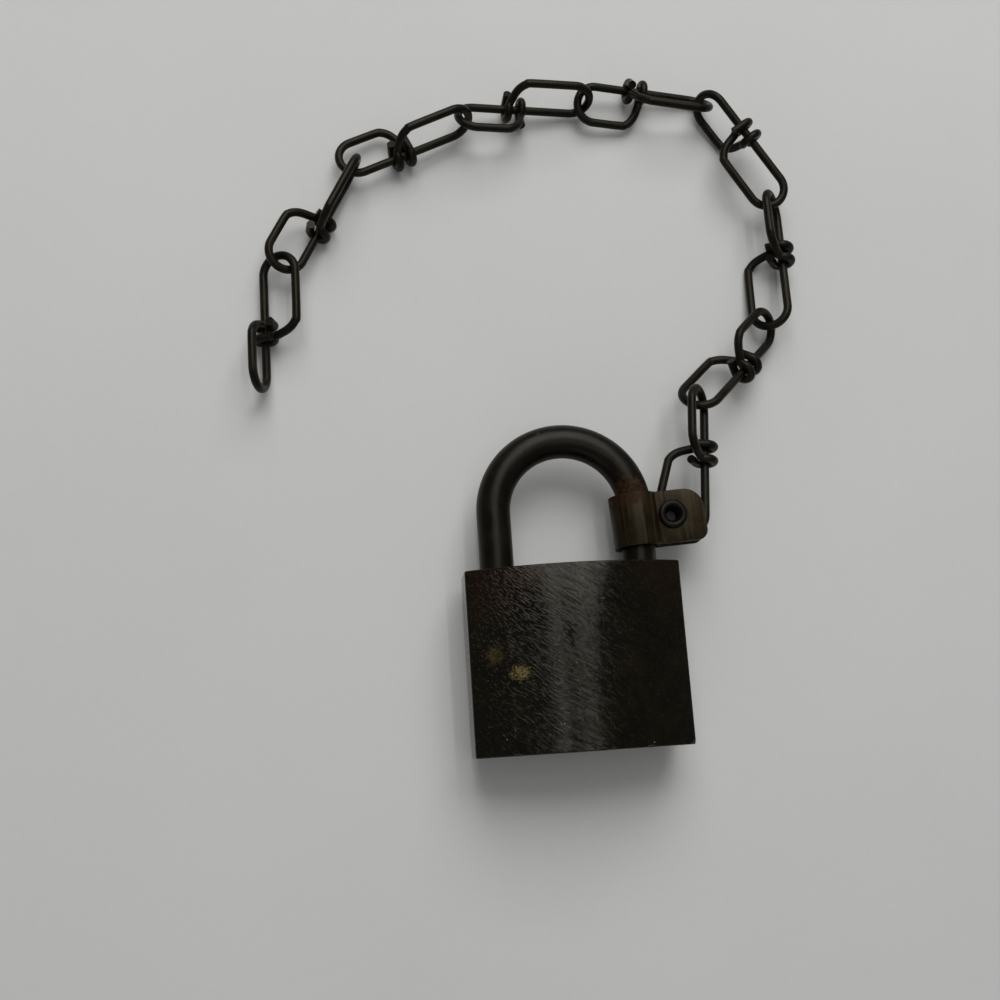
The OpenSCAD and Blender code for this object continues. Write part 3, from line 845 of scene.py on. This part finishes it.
def model_shackle():
    """The bow: a round bar swung over half a turn, with both legs and the ball notches."""
    only()
    heel_flat = HEEL_END + HEEL_CHAMFER
    bpy.ops.mesh.primitive_circle_add(
        vertices=BAR_SIDES, radius=BAR_R * MM, fill_type="NGON", location=at(LEG_X, heel_flat),
        rotation=PLUS_Y,
    )
    bow = name_new("shackle_bow")
    fix_place(bow)
    open_mesh(bow)
    bpy.ops.mesh.select_all(action="SELECT")
    grow_leg(BOW_Y - heel_flat, 24)
    bpy.ops.mesh.spin(steps=72, angle=-math.pi, center=at(0, BOW_Y), axis=(0, 0, 1))
    grow_leg(TOE_END + TOE_CHAMFER - BOW_Y, 16)
    chamfer_end(TOE_CHAMFER, at(-LEG_X, TOE_END))
    pick_faces(bow, lambda c, n: c.y < at(0, heel_flat + 0.01).y and abs(n.y) > 0.9)
    chamfer_end(HEEL_CHAMFER, at(LEG_X, HEEL_END))
    close_mesh()
    mend_normals(bow)
    note_run(bow, shackle_run)
    room = BALL_R + BALL_ROOM
    for side, throw in ((1, HEEL_THROW), (-1, TOE_THROW)):
        start = at(side * BALL_X, BALL_Y)
        end = at(side * (BALL_X - throw), BALL_Y - LIFT)
        way = end - start
        bpy.ops.mesh.primitive_cylinder_add(
            vertices=NOTCH_SIDES, radius=room * MM, depth=way.length, location=(start + end) / 2,
            rotation=way.to_track_quat("Z", "Y").to_euler(),
        )
        tools = [bpy.context.object]
        fix_place(tools[0])
        for spot in (start, end):
            bpy.ops.mesh.primitive_uv_sphere_add(
                segments=NOTCH_SIDES, ring_count=NOTCH_SIDES // 2, radius=(room + 0.02) * MM, location=spot
            )
            seat = bpy.context.object
            fix_place(seat)
            tools.append(seat)
        cut(bow, *tools)
    smooth(bow, 40)
    return bow


def shackle_run(co):
    """Length along the bar and place across it, at a point of the shackle."""
    zero = at(0, BOW_Y)
    x, y, z = co.x - zero.x, co.y - zero.y, co.z - zero.z
    if y > 0:
        return (math.atan2(y, x) * LEG_X * MM, math.hypot(x, y) - LEG_X * MM, z)
    return (y if x > 0 else math.pi * LEG_X * MM - y, abs(x) - LEG_X * MM, z)


def note_run(obj, rule):
    """Writes the along_bar attribute that drawn streaks follow."""
    marks = obj.data.attributes.new("along_bar", "FLOAT_VECTOR", "POINT")
    for index, vert in enumerate(obj.data.vertices):
        marks.data[index].vector = rule(vert.co)


def model_clip():
    """The strap: one leaf, the barrel spun round the leg, the other leaf, then thickness."""
    only()
    mid_r = BARREL_R + STRAP / 2
    leaf_z = (LEAF_GAP + STRAP) / 2
    crease = math.sqrt(mid_r**2 - leaf_z**2)
    length = LUG_END - crease
    bpy.ops.mesh.primitive_plane_add(
        size=1, location=at(CLIP_X + crease + length / 2, CLIP_Y, MID_Z + leaf_z)
    )
    clip = name_new("strap_clip")
    clip.scale = (length * MM, CLIP_H * MM, 1)
    fix_place(clip)
    open_mesh(clip, "VERT")
    x_crease, x_end = at(CLIP_X + crease, 0).x, at(CLIP_X + LUG_END, 0).x
    pick_verts(clip, lambda co: abs(co.x - x_crease) < 1e-5)
    sweep = 2 * math.pi - 2 * math.asin(leaf_z / mid_r)
    bpy.ops.mesh.spin(steps=56, angle=sweep, center=at(CLIP_X, CLIP_Y), axis=(0, 1, 0))
    bpy.ops.mesh.extrude_region_move(TRANSFORM_OT_translate={"value": (length * MM, 0, 0)})
    # round the two outer corners of each leaf
    for side, radius in ((1, LUG_ROUND), (-1, LUG_SMALL_ROUND)):
        y_corner = at(0, CLIP_Y + side * CLIP_H / 2).y
        bpy.ops.mesh.select_all(action="DESELECT")
        pick_verts(clip, lambda co: abs(co.x - x_end) < 1e-5 and abs(co.y - y_corner) < 1e-5)
        bpy.ops.mesh.bevel(affect="VERTICES", offset=radius * MM, segments=12, profile=0.5)
    bpy.ops.mesh.select_all(action="SELECT")
    bpy.ops.mesh.normals_make_consistent(inside=False)
    bpy.ops.transform.rotate(
        value=-math.radians(CLIP_TILT), orient_axis="Z", center_override=at(CLIP_X, CLIP_Y)
    )
    close_mesh()
    finish_modifier(
        clip, "SOLIDIFY", "strap_thickness", thickness=STRAP * MM, offset=0, use_even_offset=True
    )
    bpy.ops.mesh.primitive_cylinder_add(
        vertices=48, radius=(SHANK_R + 0.01) * MM, depth=20 * MM, location=at(RIVET_X, RIVET_Y)
    )
    cut(clip, name_new("rivet_hole"))
    finish_modifier(
        clip, "BEVEL", "eased_edges", width=0.14 * MM, segments=3, limit_method="ANGLE",
        angle_limit=math.radians(50),
    )
    smooth(clip, 30)
    return clip


# rings of the rivet's two ends, each its radius and its height over the strap
ROLLED_HEAD = (
    (3.0, 0.01), (3.05, 0.3), (2.9, 0.55), (2.6, 0.72), (2.3, 0.78), (2.0, 0.72), (1.75, 0.5), (1.55, 0.1),
    (1.3, -0.5), (1.12, -1.2), (1.05, -2.1),
)
FLAT_HEAD = ((3.1, 0.01), (3.12, 0.25), (3.0, 0.5), (2.5, 0.72), (1.9, 0.84), (0.8, 0.88))


def model_rivet():
    """The tubular rivet: a shank, a rolled head with its hollow in front, a flat head behind."""
    only()
    half = LEAF_GAP / 2 + STRAP
    bpy.ops.mesh.primitive_cylinder_add(
        vertices=RIVET_SIDES, radius=SHANK_R * MM, depth=2 * half * MM, location=at(RIVET_X, RIVET_Y)
    )
    rivet = name_new("clip_rivet_head")
    fix_place(rivet)
    open_mesh(rivet)
    middle = at(RIVET_X, RIVET_Y)
    # in front: out, up, in over the rolled rim, then down into the hollow
    grow_rings(rivet, middle, MID_Z * MM + half * MM, ROLLED_HEAD, 1)
    grow_rings(rivet, middle, MID_Z * MM - half * MM, FLAT_HEAD, -1)
    close_mesh()
    mend_normals(rivet)
    smooth(rivet, 40)
    return rivet


def grow_rings(obj, middle, level, rings, way):
    """Grows the shank's end face out in rings, up or down from its level."""
    radius, height = SHANK_R, 0.0
    pick_faces(obj, lambda c, n: abs(c.z - level) < 1e-5 and n.z * way > 0.9)
    for next_radius, next_height in rings:
        step = way * (next_height - height) * MM
        bpy.ops.mesh.extrude_region_move(TRANSFORM_OT_translate={"value": (0, 0, step)})
        share = next_radius / radius
        bpy.ops.transform.resize(value=(share, share, 1), center_override=middle)
        radius, height = next_radius, next_height


# ---------- chain ----------
WRAP_STEPS, SPINE_STEPS = 33, 24
# how far a wrap creeps along the spine in half a turn
WRAP_CREEP = 0.12
# a wrap sits this far past the knot's middle
KNOT_OFFSET = 1.5


def ease(points, steps):
    """A smooth curve through a short list of points."""
    padded = [2 * points[0] - points[1], *points, 2 * points[-1] - points[-2]]
    curve = []
    for i in range(len(points) - 1):
        a, b, c, d = padded[i : i + 4]
        for k in range(steps):
            t = k / steps
            curve.append(
                0.5 * (2 * b + (c - a) * t + (2 * a - 5 * b + 4 * c - d) * t * t
                       + (3 * b - a - 3 * c + d) * t * t * t)
            )
    return [*curve, points[-1]]


def half_link(wrap_x, hand, radius):
    """Half of a link: tip of the loop, return leg, and its wrap round the spine."""
    tip = []
    for degrees in range(0, 181, 6):
        a = math.radians(degrees)
        tip.append(Vector((radius - radius * math.sin(a), radius - radius * math.cos(a), 0)))
    corner = [
        (radius, 2 * radius), (wrap_x - 4.4, 8.1), (wrap_x - 3.0, 7.7), (wrap_x - 1.9, 6.7),
        (wrap_x - 1.1, 5.2), (wrap_x - 0.3, 2.4),
    ]
    leg = [q for q in ease([Vector((x, y, 0)) for x, y in corner], 8) if q.x > radius + 0.01]
    wrap = []
    for i in range(WRAP_STEPS + 1):
        a = math.radians(WRAP_FROM + i * (WRAP_TO - WRAP_FROM) / WRAP_STEPS)
        creep = WRAP_CREEP * a / math.pi
        wrap.append(Vector((wrap_x + creep, WRAP_R * math.cos(a), hand * WRAP_R * math.sin(a))))
    cut_end = Vector((wrap_x + 0.22, STUB, -hand * (WRAP_R + 0.06)))
    wrap += [wrap[-1].lerp(cut_end, share) for share in (0.33, 0.66, 1)]
    return tip + leg + wrap


def link_path(turn, radius, knot, long):
    """Centre line of a whole link: its first half backwards, its spine, its turned second half."""
    twist = Matrix.Rotation(math.radians(turn), 3, "X")
    first = half_link(knot + KNOT_OFFSET, -1, radius)[::-1]
    start, end = radius + 1.0, long - LOOP_R - 1.0
    spine = [Vector((start + (end - start) * i / SPINE_STEPS, 0, 0)) for i in range(SPINE_STEPS + 1)]
    second = []
    for q in half_link(long - knot + KNOT_OFFSET, 1, LOOP_R):
        turned = twist @ Vector((0, q.y, q.z))
        second.append(Vector((long - q.x, turned.y, turned.z)))
    return first + spine + second


def wire_run(points):
    """Length along a bent wire and place across it, from the nearest point of its centre line."""
    nearest = kdtree.KDTree(len(points))
    lengths = [0.0]
    for index, point in enumerate(points):
        nearest.insert(point, index)
        if index:
            lengths.append(lengths[-1] + (point - points[index - 1]).length)
    nearest.balance()

    def rule(co):
        centre, index, _ = nearest.find(co)
        return (lengths[index], co.x - centre.x, co.z - centre.z)

    return rule


def model_link(number, pose):
    """One length of wire, bent to a loop at each end and knotted round itself."""
    only()
    *start, heading, slope, roll, turn = pose
    radius, knot, long = (FIRST_R, FIRST_KNOT, FIRST_L) if number == 1 else (LOOP_R, KNOT_X, LINK_L)
    path = link_path(turn, radius, knot, long)
    lie = (
        Matrix.Rotation(math.radians(heading), 3, "Z")
        @ Matrix.Rotation(math.radians(-slope), 3, "Y")
        @ Matrix.Rotation(math.radians(roll), 3, "X")
    )
    bpy.ops.curve.primitive_nurbs_path_add()
    wire = name_new(f"wire_link_{number}")
    wire.data.splines.clear()
    spline = wire.data.splines.new("POLY")
    spline.points.add(len(path) - 1)
    centres = []
    for point, q in zip(spline.points, path):
        centres.append(at(*(lie @ q + Vector(start))))
        point.co = (*centres[-1], 1)
    wire.location = (0, 0, 0)
    wire.data.dimensions = "3D"
    wire.data.twist_mode = "MINIMUM"
    wire.data.bevel_depth = (WIRE_D / 2 - WIRE_EASE) * MM
    wire.data.bevel_resolution = 6
    wire.data.use_fill_caps = True
    only(wire)
    bpy.ops.object.convert(target="MESH")
    wire = bpy.context.object
    mend_normals(wire)
    note_run(wire, wire_run(centres))
    smooth(wire, 40)
    return wire


# ---------- putting it together ----------
def wear(obj, material):
    """Gives the piece one material only."""
    obj.data.materials.clear()
    obj.data.materials.append(material)


# lock work: name, dark tone, light tone, roughness, metal
TURNED = {
    "cylinder_brass": ("cylinder_aged_brass", (0.05, 0.035, 0.014), (0.16, 0.115, 0.045), 0.3, 0.7),
    "pin_brass": ("pin_bright_brass", (0.3, 0.2, 0.07), (0.55, 0.4, 0.16), 0.22, 0.95),
    "lock_steel": ("lock_work_steel", (0.12, 0.12, 0.12), (0.3, 0.3, 0.3), 0.28, 0.9),
    "spring_steel": ("bright_spring_steel", (0.2, 0.2, 0.2), (0.42, 0.42, 0.42), 0.22, 0.95),
}

set_camera()
table = set_studio()
groups = build_groups()
wear(table, finish_table(groups))
finishes = {
    "body_patina": finish_body(groups),
    "shackle_steel": finish_shackle(groups),
    "clip_brass": finish_clip(groups),
    "rivet_steel": finish_rivet(groups),
    "chain_wire": finish_wire(groups),
}
for slot, look in TURNED.items():
    finishes[slot] = finish_turned_metal(groups, *look)
for row in frame["record"]["subparts"]:
    wear(frame["nodes"][row["node"]], finishes[row["material_slot"]])

pieces = [
    (model_body(), "lock", "lock_body", "body_patina"),
    (model_shackle(), "shackle", "shackle", "shackle_steel"),
    (model_clip(), "clip", "chain_clip", "clip_brass"),
    (model_rivet(), "clip", "clip_rivet", "rivet_steel"),
]
for number, pose in enumerate(LINKS, 1):
    pieces.append((model_link(number, pose), f"link_{number}", f"chain_link_{number}", "chain_wire"))
for piece, body, cad_node, slot in pieces:
    wear(piece, finishes[slot])
    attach(piece, body)
    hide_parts(cad_node)
